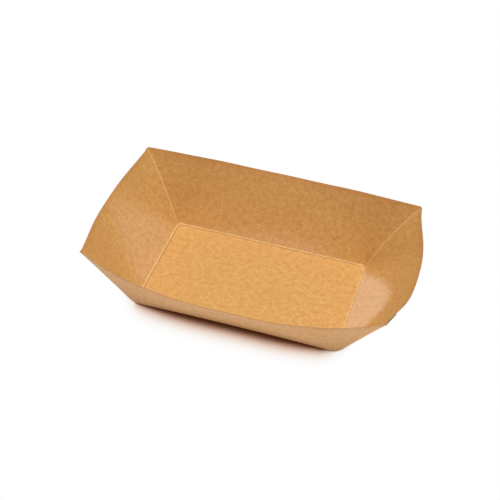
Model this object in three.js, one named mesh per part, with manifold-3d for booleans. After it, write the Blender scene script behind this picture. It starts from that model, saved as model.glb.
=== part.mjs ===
// A small paper food tray, folded from one flat sheet of kraft board.
// A flat base carries four flared panels. The board between two panels, the web,
// is folded in half and lies flat against the outside of the end panel, so three
// layers of board meet at the rim beside each corner. The rim is cut straight on
// the flat sheet and dips across each web, so that the folded edge lies below it. The
// panels bend outwards between the corners that hold them.
// Millimetres and degrees, +Z up. The origin is the middle of the base's underside.
// X runs along the tray, Y towards its back.

import * as THREE from "three";
import { mergeVertices } from "three/addons/utils/BufferGeometryUtils.js";
import Module from "manifold-3d";

// Driving dimensions of the base and of the rim's corners
const baseLength = 120;
const baseWidth = 78;
const cornerRise = 42;
const endFlare = 25.5;
const sideFlare = 14.6;

// Board and folds
const boardThickness = 0.3;
const layerGap = 0.06;
const wrapRadius = 0.6;
const webDip = 2.5;
const creaseBeadRadius = 0.32;
const creaseBeadSetback = 2.5;

// How far the middle of each panel stands up from flat
const frontLeanAngle = 52.7;
const backLeanAngle = 55.3;
const leftLeanAngle = 49.5;
const rightLeanAngle = 44.4;

// Angle from the crease of the line that each panel bends about, and how far the
// bend spreads past it towards the corner
const longBendAngle = 78.2;
const leftBendAngle = 63.7;
const rightBendAngle = 67.1;
const longSpreadAngle = 44.5;
const endSpreadAngle = 13;

// Look of the bare board
const kraftColour = "#c99a66";
const kraftRoughness = 0.85;

// Fineness of the facets
const bendSteps = 18;
const foldSteps = 6;
const beadSides = 10;

const DEGREE = Math.PI / 180;
const wasm = await Module();
wasm.setup();

/** Turns a unit vector towards another by an angle. */
function turnTowards(from, to, angle) {
  const whole = from.angleTo(to);
  const share = angle / whole;
  const a = Math.sin((1 - share) * whole) / Math.sin(whole);
  const b = Math.sin(share * whole) / Math.sin(whole);
  return from.clone().multiplyScalar(a).addScaledVector(to, b);
}

/** A unit vector in the plane of two others, at an angle from the first. */
function between(first, second, angle) {
  return first
    .clone()
    .multiplyScalar(Math.cos(angle))
    .addScaledVector(second, Math.sin(angle));
}

/**
 * The straight lines that run from one base corner over half of a panel.
 * They start in the panel's flat middle, turn through the bend and end at the
 * rim's corner. Each has its direction, its angle on the flat sheet and the
 * distance at which the straight-cut rim crosses it.
 */
function bendFan(apex, along, upslope, rimCorner, panel, startAngle) {
  const toCorner = rimCorner.clone().sub(apex);
  const reach = toCorner.length();
  const last = toCorner.clone().normalize();
  const first = between(along, upslope, startAngle);
  const middle = between(along, upslope, panel.bendAngle * DEGREE);
  const spread = panel.spreadAngle * DEGREE;
  const flatCorner = spread < middle.angleTo(last);
  const bendEnd = flatCorner ? turnTowards(middle, last, spread) : last;
  const rays = [];
  for (let step = 0; step <= bendSteps; step += 1) {
    const t = step / bendSteps;
    const direction = first
      .clone()
      .multiplyScalar((1 - t) ** 2)
      .addScaledVector(middle, 2 * t * (1 - t))
      .addScaledVector(bendEnd, t ** 2)
      .normalize();
    rays.push({ direction });
  }
  if (flatCorner) rays.push({ direction: last });
  let angle = startAngle;
  rays.forEach((ray, index) => {
    if (index > 0) angle += rays[index - 1].direction.angleTo(ray.direction);
    ray.angle = angle;
  });
  const slant = reach * Math.sin(angle);
  for (const ray of rays) {
    const distance = slant / Math.sin(ray.angle);
    ray.rim = apex.clone().addScaledVector(ray.direction, distance);
  }
  return { rays, slant, angle };
}

/** A fan whose first line runs to the middle of the rim. */
function settledFan(apex, along, upslope, rimCorner, panel) {
  const half = panel.creaseLength / 2;
  let startAngle = Math.atan2(panel.heightGuess, half);
  let fan = bendFan(apex, along, upslope, rimCorner, panel, startAngle);
  for (let pass = 0; pass < settlingPasses; pass += 1) {
    startAngle = Math.atan2(fan.slant, half) + middleFlatAngle * DEGREE;
    fan = bendFan(apex, along, upslope, rimCorner, panel, startAngle);
  }
  return fan;
}
const settlingPasses = 6;
const middleFlatAngle = 1;

// The base's inner corners and the rim's inner corners, by end and side
const halfLength = baseLength / 2;
const halfWidth = baseWidth / 2;
function baseCorner(end, side) {
  return new THREE.Vector3(end * halfLength, side * halfWidth, boardThickness);
}
function rimCorner(end, side) {
  const x = end * (halfLength + endFlare);
  const y = side * (halfWidth + sideFlare);
  return new THREE.Vector3(x, y, boardThickness + cornerRise);
}

/** A panel's two fans, from its first base corner and from its second. */
function makePanel(outwards, firstPlace, secondPlace, leanAngle, bendAngle, spreadAngle) {
  const feet = [baseCorner(...firstPlace), baseCorner(...secondPlace)];
  const along = feet[1].clone().sub(feet[0]).normalize();
  const upslope = between(outwards, new THREE.Vector3(0, 0, 1), leanAngle * DEGREE);
  const panel = {
    bendAngle,
    spreadAngle,
    creaseLength: feet[0].distanceTo(feet[1]),
    heightGuess: cornerRise / Math.sin(leanAngle * DEGREE),
  };
  panel.feet = [firstPlace, secondPlace];
  panel.fans = [
    settledFan(feet[0], along, upslope, rimCorner(...firstPlace), panel),
    settledFan(feet[1], along.clone().negate(), upslope, rimCorner(...secondPlace), panel),
  ];
  return panel;
}

const towards = (x, y) => new THREE.Vector3(x, y, 0);
// Front, right, back and left, each with its corners anticlockwise seen from above
const panels = [
  makePanel(towards(0, -1), [-1, -1], [1, -1], frontLeanAngle, longBendAngle, longSpreadAngle),
  makePanel(towards(1, 0), [1, -1], [1, 1], rightLeanAngle, rightBendAngle, endSpreadAngle),
  makePanel(towards(0, 1), [1, 1], [-1, 1], backLeanAngle, longBendAngle, longSpreadAngle),
  makePanel(towards(-1, 0), [-1, 1], [-1, -1], leftLeanAngle, leftBendAngle, endSpreadAngle),
];

/** Collects an inner skin of shared points and gives it the board's thickness. */
class BoardSkin {
  constructor() {
    this.points = [];
    this.faces = [];
    this.places = new Map();
  }

  /** The number of a point, shared with every earlier point at the same place. */
  point(position) {
    const key = position.toArray().map((value) => value.toFixed(5)).join(" ");
    if (!this.places.has(key)) {
      this.places.set(key, this.points.length);
      this.points.push(position.clone());
    }
    return this.places.get(key);
  }

  /** Adds a triangle that faces into the tray. */
  face(a, b, c) {
    this.faces.push([this.point(a), this.point(b), this.point(c)]);
  }

  /** The outward normal of a triangle, away from the tray's inside. */
  outwardNormal(face) {
    const [a, b, c] = face.map((index) => this.points[index]);
    const first = b.clone().sub(a);
    return first.cross(c.clone().sub(a)).normalize().negate();
  }

  /** Moves each point out by the thickness of every face that meets there. */
  outerPoints(thickness) {
    const normals = this.points.map(() => []);
    for (const face of this.faces) {
      const normal = this.outwardNormal(face);
      for (const index of face) normals[index].push(normal);
    }
    return this.points.map((point, index) =>
      point.clone().add(offsetFor(normals[index], thickness)),
    );
  }

  /** The closed body between the inner skin and its offset. */
  thicken(thickness) {
    const outer = this.outerPoints(thickness);
    const count = this.points.length;
    const positions = [...this.points, ...outer].flatMap((point) => point.toArray());
    const indices = [];
    const edges = new Set(this.faces.flatMap((face) => edgeKeys(face)));
    for (const face of this.faces) {
      const [a, b, c] = face;
      indices.push(a, b, c, a + count, c + count, b + count);
      for (const [from, to] of [[a, b], [b, c], [c, a]]) {
        if (edges.has(`${to} ${from}`)) continue;
        indices.push(from, from + count, to, to, from + count, to + count);
      }
    }
    return solidFrom(positions, indices);
  }
}

/** The directed edges of a triangle, as text. */
function edgeKeys([a, b, c]) {
  return [`${a} ${b}`, `${b} ${c}`, `${c} ${a}`];
}

/** The shortest move that carries a point out by the thickness along each normal. */
function offsetFor(normals, thickness) {
  const m = new Array(9).fill(0);
  const sum = new THREE.Vector3();
  for (const normal of normals) {
    const weight = normal.z < underside ? baseWeight : 1;
    const n = normal.toArray();
    for (let row = 0; row < 3; row += 1) {
      for (let column = 0; column < 3; column += 1) {
        m[row * 3 + column] += weight * n[row] * n[column];
      }
    }
    sum.addScaledVector(normal, weight * thickness);
  }
  for (let diagonal = 0; diagonal < 9; diagonal += 4) m[diagonal] += solverSoftness;
  return sum.applyMatrix3(new THREE.Matrix3().set(...m).invert());
}
const underside = -0.999;
const baseWeight = 1e5;
const solverSoftness = 1e-4;

/** A closed solid from positions and triangles. */
function solidFrom(positions, indices) {
  const geometry = new THREE.BufferGeometry();
  geometry.setAttribute("position", new THREE.Float32BufferAttribute(positions, 3));
  geometry.setIndex(indices);
  return solidOf(geometry);
}

/** A closed solid from a three.js geometry. */
function solidOf(geometry) {
  const bare = geometry.clone();
  bare.deleteAttribute("normal");
  bare.deleteAttribute("uv");
  const merged = mergeVertices(bare, 1e-4);
  return new wasm.Manifold(
    new wasm.Mesh({
      numProp: 3,
      vertProperties: merged.attributes.position.array,
      triVerts: new Uint32Array(merged.index.array),
    }),
  );
}

/** Base and panels as one board, before the corners are folded. */
function trough() {
  const skin = new BoardSkin();
  const [a, b, c, d] = [baseCorner(-1, -1), baseCorner(1, -1), baseCorner(1, 1), baseCorner(-1, 1)];
  skin.face(a, b, c);
  skin.face(a, c, d);
  for (const panel of panels) {
    const [first, second] = panel.feet.map((place) => baseCorner(...place));
    const [left, right] = panel.fans.map((fan) => fan.rays.map((ray) => ray.rim));
    skin.face(second, first, left[0]);
    skin.face(second, left[0], right[0]);
    for (let step = 1; step < left.length; step += 1) {
      skin.face(first, left[step], left[step - 1]);
      skin.face(second, right[step - 1], right[step]);
    }
  }
  return skin.thicken(boardThickness);
}

/** A raised bead where the board was scored, along the inside of each crease. */
function creaseBead(panel) {
  const [first, second] = panel.feet.map((place) => baseCorner(...place));
  const radius = Math.min(creaseBeadRadius, boardThickness);
  const length = first.distanceTo(second) - 2 * creaseBeadSetback;
  const rod = new THREE.CylinderGeometry(radius, radius, length, beadSides);
  const along = second.clone().sub(first).normalize();
  const turn = new THREE.Quaternion().setFromUnitVectors(new THREE.Vector3(0, 1, 0), along);
  rod.applyQuaternion(turn);
  rod.translate(...first.clone().add(second).multiplyScalar(0.5).toArray());
  return solidOf(rod);
}

/** Points of an arc, from one angle to another, in the plane of a section. */
function arc(centreU, centreV, radius, from, to) {
  const points = [];
  for (let step = 0; step <= foldSteps; step += 1) {
    const angle = from + ((to - from) * step) / foldSteps;
    const u = centreU + radius * Math.cos(angle);
    points.push(new THREE.Vector2(u, centreV + radius * Math.sin(angle)));
  }
  return points;
}

/**
 * One folded corner. Its sections are square to the corner's edge: u runs along
 * the end panel away from the corner, v outwards through the layers of board.
 */
class FoldedCorner {
  constructor(end, side) {
    const endPanel = panels[end > 0 ? 1 : 3];
    const longPanel = panels[side > 0 ? 2 : 0];
    this.foot = baseCorner(end, side);
    this.endFan = this.fanAt(endPanel, end, side);
    this.longFan = this.fanAt(longPanel, end, side);
    this.edge = this.endFan.rays.at(-1).direction;
    this.reach = this.foot.distanceTo(rimCorner(end, side));
    this.inEnd = this.squareToEdge(this.endFan);
    this.inLong = this.squareToEdge(this.longFan);
    this.outwards = this.inLong.clone().negate();
    this.outwards.addScaledVector(this.inEnd, -this.outwards.dot(this.inEnd)).normalize();
    this.opening = this.inEnd.angleTo(this.inLong);
    // Base, both panels and both halves of the web fill the flat sheet's full turn.
    this.webAngle = (1.5 * Math.PI - this.endFan.angle - this.longFan.angle) / 2;
    const roomForFolds = this.noseCentre() + foldRadius + layerGap;
    this.slitStart = roomForFolds / Math.tan(this.webAngle);
  }

  /** The fan of a panel that starts at this corner. */
  fanAt(panel, end, side) {
    const index = panel.feet.findIndex(([e, s]) => e === end && s === side);
    return panel.fans[index];
  }

  /** The direction in a panel, square to the corner's edge and away from it. */
  squareToEdge(fan) {
    const inside = fan.rays.at(-2).direction.clone();
    return inside.addScaledVector(this.edge, -inside.dot(this.edge)).normalize();
  }

  /** A point of a section at a distance up the corner's edge. */
  place(distance, { x: u, y: v }) {
    return this.foot
      .clone()
      .addScaledVector(this.edge, distance)
      .addScaledVector(this.inEnd, u)
      .addScaledVector(this.outwards, v);
  }

  /** Where the long panel's face, at a depth in its board, crosses a height v. */
  longFace(depth, v) {
    const u = -(depth + v * Math.cos(this.opening)) / Math.sin(this.opening);
    return new THREE.Vector2(u, v);
  }

  /** The width of the folded web at a distance up the corner's edge. */
  webWidth(distance) {
    return distance * Math.tan(this.webAngle);
  }

  /** The web's two layers and the board that wraps round the corner, uncut. */
  stackSection(width) {
    const turn = Math.PI - this.opening;
    const corner = this.longFace(boardThickness, stackThickness);
    const setback = wrapRadius * Math.tan(turn / 2);
    const wrap = arc(
      corner.x + setback,
      stackThickness - wrapRadius,
      wrapRadius,
      Math.PI / 2 + turn,
      Math.PI / 2,
    );
    const foldV = stackThickness - foldRadius;
    const fold = arc(width - foldRadius, foldV, foldRadius, Math.PI / 2, -Math.PI / 2);
    return [
      this.longFace(boardThickness, stackRoot),
      ...wrap,
      ...fold,
      new THREE.Vector2(width - foldRadius, stackRoot),
    ];
  }

  /** The slit between the end panel and the web's inner layer. */
  innerSlitSection(width) {
    const closedEnd = this.noseCentre();
    const openEnd = width + foldRadius;
    const low = boardThickness;
    const high = boardThickness + layerGap;
    return [
      new THREE.Vector2(closedEnd - layerGap / 2, (low + high) / 2),
      new THREE.Vector2(closedEnd, high),
      new THREE.Vector2(openEnd, high),
      new THREE.Vector2(openEnd, low),
      new THREE.Vector2(closedEnd, low),
    ];
  }

  /** Distance from the corner's edge to the centre of the end panel's own fold. */
  noseCentre() {
    const lift = foldRadius * (1 - Math.cos(this.opening)) + layerGap;
    return lift / Math.sin(this.opening);
  }

  /** The seam beside the long panel and the slit between the web's two layers. */
  seamSection(width) {
    const nose = this.noseCentre();
    const low = 2 * boardThickness + layerGap;
    const high = low + layerGap;
    const slitEnd = Math.max(width - foldRadius, nose);
    return [
      this.longFace(0, -seamClearance),
      this.longFace(0, high),
      new THREE.Vector2(slitEnd, high),
      new THREE.Vector2(slitEnd + layerGap / 2, (low + high) / 2),
      new THREE.Vector2(slitEnd, low),
      ...arc(nose, foldRadius, foldRadius, Math.PI / 2, (3 * Math.PI) / 2),
      new THREE.Vector2(nose, -seamClearance),
    ];
  }

  /** A solid through sections at rising distances up the corner's edge. */
  loft(stations) {
    const sections = stations.map(({ distance, outline }) => {
      const clockwise = THREE.ShapeUtils.isClockWise(outline);
      return { distance, outline: clockwise ? outline.toReversed() : outline };
    });
    const size = sections[0].outline.length;
    const positions = sections.flatMap(({ distance, outline }) =>
      outline.flatMap((point) => this.place(distance, point).toArray()),
    );
    const indices = [];
    const top = (sections.length - 1) * size;
    for (const [a, b, c] of THREE.ShapeUtils.triangulateShape(sections[0].outline, [])) {
      indices.push(a, b, c);
    }
    for (const [a, b, c] of THREE.ShapeUtils.triangulateShape(sections.at(-1).outline, [])) {
      indices.push(top + a, top + c, top + b);
    }
    for (let level = 0; level < top; level += size) {
      for (let i = 0; i < size; i += 1) {
        const j = (i + 1) % size;
        indices.push(level + i, level + size + i, level + j);
        indices.push(level + j, level + size + i, level + size + j);
      }
    }
    return outwardSolid(positions, indices);
  }

  /** The stack of layers, pinched to a point at the base corner. */
  stack() {
    const low = this.slitStart;
    const outline = this.stackSection(this.webWidth(low));
    const pinched = outline.map((point) => point.clone().multiplyScalar(pinchShare));
    return this.loft([
      { distance: pinchStart, outline: pinched },
      { distance: low, outline },
      { distance: this.top(), outline: this.stackSection(this.webWidth(this.top())) },
    ]);
  }

  /** A cutter that is open above the rim. */
  cutter(sectionOf) {
    const high = this.top() + rimMargin;
    const low = this.slitStart;
    return this.loft([
      { distance: low, outline: sectionOf(this.webWidth(low)) },
      { distance: high, outline: sectionOf(this.webWidth(high)) },
    ]);
  }

  /** How far up the stack runs before it is cut to the rim. */
  top() {
    return this.reach + rimMargin;
  }

  /**
   * The block of space above a line from the rim's corner, which trims the layers.
   * It dips below the end panel's rim by an angle and starts at a depth in the layers.
   */
  rimCutter(dipAngle, firstDepth) {
    const [before, last] = this.endFan.rays.slice(-2).map((ray) => ray.rim);
    const alongRim = before.clone().sub(last).normalize();
    const aboveRim = this.edge.clone();
    aboveRim.addScaledVector(alongRim, -aboveRim.dot(alongRim)).normalize();
    const along = between(alongRim, aboveRim, -dipAngle);
    const up = between(aboveRim, alongRim, dipAngle);
    const width = this.webWidth(this.reach) + 4 * rimMargin;
    const depth = 2 * stackThickness;
    const box = new THREE.BoxGeometry(width, width, depth);
    box.translate(width / 2 - 2 * rimMargin, width / 2, depth / 2 + firstDepth);
    const frame = new THREE.Matrix4().makeBasis(along, up, this.outwards);
    box.applyMatrix4(frame.setPosition(last));
    return outwardSolid([...box.attributes.position.array], [...box.index.array]);
  }

  /** The angle by which the cut across the web falls below the end panel's rim. */
  dipAngle() {
    return Math.atan(webDip / this.webWidth(this.reach));
  }
}
const stackRoot = boardThickness / 2;
const slitMiddle = boardThickness + layerGap / 2;
const foldRadius = boardThickness + layerGap / 2;
const stackThickness = 3 * boardThickness + 2 * layerGap;
const seamClearance = 0.5;
const pinchStart = 0.1;
const pinchShare = 0.3;
const rimMargin = 1.5;

/** A solid whose faces are turned to point out, whichever hand its frame has. */
function outwardSolid(positions, indices) {
  let volume = 0;
  const corner = (index) => new THREE.Vector3().fromArray(positions, 3 * index);
  for (let i = 0; i < indices.length; i += 3) {
    const [a, b, c] = indices.slice(i, i + 3).map(corner);
    volume += a.dot(b.cross(c));
  }
  return solidFrom(positions, volume < 0 ? [...indices].reverse() : indices);
}

/** The whole tray as one solid. */
function foldedTray() {
  let tray = trough();
  for (const panel of panels) tray = tray.add(creaseBead(panel));
  for (const end of [-1, 1]) {
    for (const side of [-1, 1]) {
      const corner = new FoldedCorner(end, side);
      tray = tray.add(corner.stack());
      tray = tray.subtract(corner.cutter((width) => corner.innerSlitSection(width)));
      tray = tray.subtract(corner.cutter((width) => corner.seamSection(width)));
      tray = tray.subtract(corner.rimCutter(0, stackRoot / 2));
      tray = tray.subtract(corner.rimCutter(corner.dipAngle(), slitMiddle));
    }
  }
  return tray;
}

/** The three.js geometry of a solid. */
function geometryOf(solid) {
  const { numProp, vertProperties, triVerts } = solid.getMesh();
  const geometry = new THREE.BufferGeometry();
  const interleaved = new THREE.InterleavedBuffer(vertProperties, numProp);
  geometry.setAttribute("position", new THREE.InterleavedBufferAttribute(interleaved, 3, 0));
  geometry.setIndex([...triVerts]);
  const flat = geometry.toNonIndexed();
  flat.computeVertexNormals();
  return flat;
}

const kraft = new THREE.MeshStandardMaterial({
  color: kraftColour,
  roughness: kraftRoughness,
  metalness: 0,
});
const tray = new THREE.Mesh(geometryOf(foldedTray()), kraft);
tray.name = "folded_tray";

const group = new THREE.Group();
group.add(tray);
export default group;
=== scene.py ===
"""Dresses the paper food tray: one sheet of kraft board, creased, folded and cut.

The board is rebuilt as one closed sheet whose inside skin follows the same fans of
straight lines as the solid does. Lengths are in metres and the frame is the solid's.
"""

from __future__ import annotations

import logging
import math
from dataclasses import dataclass, field
from enum import Enum

import bpy
import numpy as np
from mathutils import Matrix, Vector


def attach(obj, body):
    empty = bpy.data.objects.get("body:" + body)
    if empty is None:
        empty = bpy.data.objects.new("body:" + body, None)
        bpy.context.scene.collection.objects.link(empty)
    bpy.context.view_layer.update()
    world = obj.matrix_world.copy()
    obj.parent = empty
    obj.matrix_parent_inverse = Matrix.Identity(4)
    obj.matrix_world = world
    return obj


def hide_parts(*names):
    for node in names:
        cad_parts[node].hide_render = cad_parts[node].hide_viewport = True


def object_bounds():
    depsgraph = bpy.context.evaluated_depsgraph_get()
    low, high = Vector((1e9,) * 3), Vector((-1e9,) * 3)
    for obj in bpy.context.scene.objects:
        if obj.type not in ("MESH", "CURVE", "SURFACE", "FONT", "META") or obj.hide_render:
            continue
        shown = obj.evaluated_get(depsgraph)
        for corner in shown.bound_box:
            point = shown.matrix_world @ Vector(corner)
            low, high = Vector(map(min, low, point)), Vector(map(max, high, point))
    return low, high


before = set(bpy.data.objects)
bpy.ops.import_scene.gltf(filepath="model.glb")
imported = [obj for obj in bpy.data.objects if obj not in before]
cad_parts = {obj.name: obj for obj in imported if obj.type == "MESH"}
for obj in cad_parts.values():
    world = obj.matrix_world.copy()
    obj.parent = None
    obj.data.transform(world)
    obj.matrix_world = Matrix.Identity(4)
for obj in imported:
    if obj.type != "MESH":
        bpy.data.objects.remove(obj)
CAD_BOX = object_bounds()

LOG = logging.getLogger("paper_food_tray")
MM = 0.001
PHOTO_PIXELS = 500
UP = np.array([0.0, 0.0, 1.0])
LEAST_SHARE = 1e-4
LEAST_LENGTH = 1e-9

# The mix node's share and colour sockets go by number: others have the same names.
MIX_INPUTS = (0, 6, 7)
MIX_OUTPUT = 2

Colour = tuple[float, ...]
Stops = tuple[tuple[float, Colour], ...]
Foot = tuple[int, int]
Socket = bpy.types.NodeSocket


class Side(Enum):
    """The four panels, by the way that each one faces."""

    FRONT = "front"
    RIGHT = "right"
    BACK = "back"
    LEFT = "left"


class Mark(Enum):
    """What the finish is told about each place of the sheet, by attribute."""

    # Stretched board at creases and folds, together with painted highlight on lit ridges and seams.
    FOLD_AND_HIGHLIGHT = "fold_and_highlight_mark"
    RIM = "rim_mark"
    # Painted shade: the dark line on the shaded side of each score.
    PAINTED_SCORE_SHADE = "painted_score_shade"
    # Painted highlight: light and sheen painted on the feet of the panels.
    PAINTED_HIGHLIGHT = "painted_highlight_mark"
    OUTSIDE = "outside_face"


def colour(red: int, green: int, blue: int) -> Colour:
    """Turn a colour as a screen shows it into the linear one that a shader takes.

    Args:
        red: Red, from 0 to 255.
        green: Green, the same.
        blue: Blue, the same.

    Returns:
        Red, green and blue, with an opacity of one.
    """
    linear = [
        c / 12.92 if c <= 0.04045 else ((c + 0.055) / 1.055) ** 2.4
        for c in (red / 255, green / 255, blue / 255)
    ]
    return (*linear, 1.0)


def unit(vector: np.ndarray) -> np.ndarray:
    """Scale vectors to length one along their last axis."""
    return vector / np.linalg.norm(vector, axis=-1, keepdims=True)


def between(first: np.ndarray, second: np.ndarray, angle: float) -> np.ndarray:
    """Give the unit vector at an angle from the first in the plane of two others."""
    return math.cos(angle) * first + math.sin(angle) * second


def ease(value: np.ndarray) -> np.ndarray:
    """Rise smoothly from nought to one while the value does so evenly."""
    held = np.clip(value, 0.0, 1.0)
    return held * held * (3.0 - 2.0 * held)


def stations(length: float, fine: tuple[float, ...], pitch: float, ends: int) -> np.ndarray:
    """Place grid lines along a length, close together at its ends.

    Args:
        length: Length to divide.
        fine: Distances from an end at which there is always a line.
        pitch: Widest step between the lines in the middle.
        ends: Two for fine lines at both ends, one for the first end only.

    Returns:
        Rising distances from nought to the length.
    """
    near = np.array(fine)
    far = length - near[::-1] if ends == 2 else np.array([length])
    count = max(2, round((far[0] - near[-1]) / pitch) + 1)
    middle = np.linspace(near[-1], far[0], count)[1:-1]
    return np.concatenate([near, middle, far])


@dataclass(frozen=True)
class BoardSizes:
    """Driving sizes of the folded tray, the same as the solid's.

    Attributes:
        end_flare: How far the rim's corners stand out past the base's along X.
        side_flare: The same along Y.
        layer_gap: Gap between the layers of a folded corner.
        wrap_radius: Outer radius of the bend round a corner's edge.
        web_dip: How far the cut dips from a corner's edge to the web's fold.
        bend_steps: Straight lines in each fan of bends.
        middle_flat_deg: Angle that a fan leaves flat beside the panel's middle.
        settling_passes: How often a fan's start is worked out again from its end.
    """

    base_length: float = 120 * MM
    base_width: float = 78 * MM
    corner_rise: float = 42 * MM
    end_flare: float = 25.5 * MM
    side_flare: float = 14.6 * MM
    thickness: float = 0.3 * MM
    layer_gap: float = 0.06 * MM
    wrap_radius: float = 0.6 * MM
    web_dip: float = 2.5 * MM
    bend_steps: int = 72
    middle_flat_deg: float = 1.0
    settling_passes: int = 6

    def base_corner(self, end: int, side: int) -> np.ndarray:
        """Give the inside corner of the base at an end and a side."""
        return np.array([end * self.base_length / 2, side * self.base_width / 2, self.thickness])

    def rim_corner(self, end: int, side: int) -> np.ndarray:
        """Give the inside corner of the rim at an end and a side."""
        flare = np.array([end * self.end_flare, side * self.side_flare, self.corner_rise])
        return self.base_corner(end, side) + flare


@dataclass(frozen=True)
class Fan:
    """The straight lines that run from one base corner over half of a panel.

    Attributes:
        apex: The base corner.
        angles: Angle of each line from the crease, on the flat sheet.
        directions: Unit vector of each line.
        slant: Distance from the crease to the straight-cut rim, on the flat sheet.
    """

    apex: np.ndarray
    angles: np.ndarray
    directions: np.ndarray
    slant: float

    def points(self, angle: np.ndarray, distance: np.ndarray) -> np.ndarray:
        """Fold points of the flat sheet, given by angle and distance, into space."""
        turned = [np.interp(angle, self.angles, self.directions[:, k]) for k in range(3)]
        return self.apex + unit(np.stack(turned, axis=-1)) * distance[..., None]


@dataclass
class Panel:
    """One flared panel: a flat middle and a fan of bends at each corner.

    Attributes:
        side: Which panel it is.
        feet: End and side of its two base corners, anticlockwise seen from above.
        outwards: Level unit vector away from the base.
        lean_deg: How far its middle stands up from flat.
        bend_deg: Angle from the crease of the line that it bends about.
        spread_deg: How far the bend spreads past that line.
    """

    board: BoardSizes
    side: Side
    feet: tuple[Foot, Foot]
    outwards: tuple[float, float, float]
    lean_deg: float
    bend_deg: float
    spread_deg: float

    def __post_init__(self) -> None:
        """Work out the panel's directions and its two fans."""
        self.corners = [self.board.base_corner(*foot) for foot in self.feet]
        self.crease_length = float(np.linalg.norm(self.corners[1] - self.corners[0]))
        self.along = unit(self.corners[1] - self.corners[0])
        self.level = np.array(self.outwards)
        self.upslope = between(self.level, UP, math.radians(self.lean_deg))
        self.fans = [self.settled_fan(which) for which in (0, 1)]
        self.slant = (self.fans[0].slant + self.fans[1].slant) / 2

    def settled_fan(self, which: int) -> Fan:
        """Build a fan whose first line runs to the middle of the rim.

        Args:
            which: Nought or one, for the panel's first or second base corner.

        Returns:
            The fan.
        """
        half = self.crease_length / 2
        slant = self.board.corner_rise / math.sin(math.radians(self.lean_deg))
        fan = self.fan(which, math.atan2(slant, half))
        for _ in range(self.board.settling_passes):
            start = math.atan2(fan.slant, half) + math.radians(self.board.middle_flat_deg)
            fan = self.fan(which, start)
        return fan

    def fan(self, which: int, start: float) -> Fan:
        """Build a fan from the angle of its first line.

        Args:
            which: Nought or one, for the panel's first or second base corner.
            start: Angle of the first line from the crease.

        Returns:
            The fan, with its lines from the flat middle to the rim's corner.
        """
        apex = self.corners[which]
        along = self.along if which == 0 else -self.along
        to_corner = self.board.rim_corner(*self.feet[which]) - apex
        reach = float(np.linalg.norm(to_corner))
        last = to_corner / reach
        first = between(along, self.upslope, start)
        middle = between(along, self.upslope, math.radians(self.bend_deg))
        whole = math.acos(float(middle @ last))
        spread = math.radians(self.spread_deg)
        flat_corner = spread < whole
        share = spread / whole if flat_corner else 1.0
        ahead, behind = math.sin((1 - share) * whole), math.sin(share * whole)
        bend_end = (ahead * middle + behind * last) / math.sin(whole)
        t = np.linspace(0.0, 1.0, self.board.bend_steps + 1)[:, None]
        lines = unit((1 - t) ** 2 * first + 2 * t * (1 - t) * middle + t**2 * bend_end)
        if flat_corner:
            lines = np.vstack([lines, last])
        turns = np.arccos(np.clip(np.sum(lines[1:] * lines[:-1], axis=1), -1.0, 1.0))
        angles = start + np.concatenate([[0.0], np.cumsum(turns)])
        return Fan(apex, angles, lines, reach * math.sin(angles[-1]))

    def inside(self, x: np.ndarray, y: np.ndarray) -> np.ndarray:
        """Fold points of the flat panel into the inside skin.

        Args:
            x: Distances along the crease from the first base corner.
            y: Distances from the crease up the flat panel.

        Returns:
            The points in space, before the crease is rounded.
        """
        flat = self.corners[0] + x[..., None] * self.along + y[..., None] * self.upslope
        for fan, distance in ((self.fans[0], x), (self.fans[1], self.crease_length - x)):
            angle = np.arctan2(y, distance)
            folded = fan.points(angle, np.hypot(distance, y))
            flat = np.where((angle > fan.angles[0])[..., None], folded, flat)
        return flat

    def corner_cotangent(self, which: int) -> float:
        """Tell how far the panel widens at one of its corners for each unit up."""
        return -1.0 / math.tan(self.fans[which].angles[-1])


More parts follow.
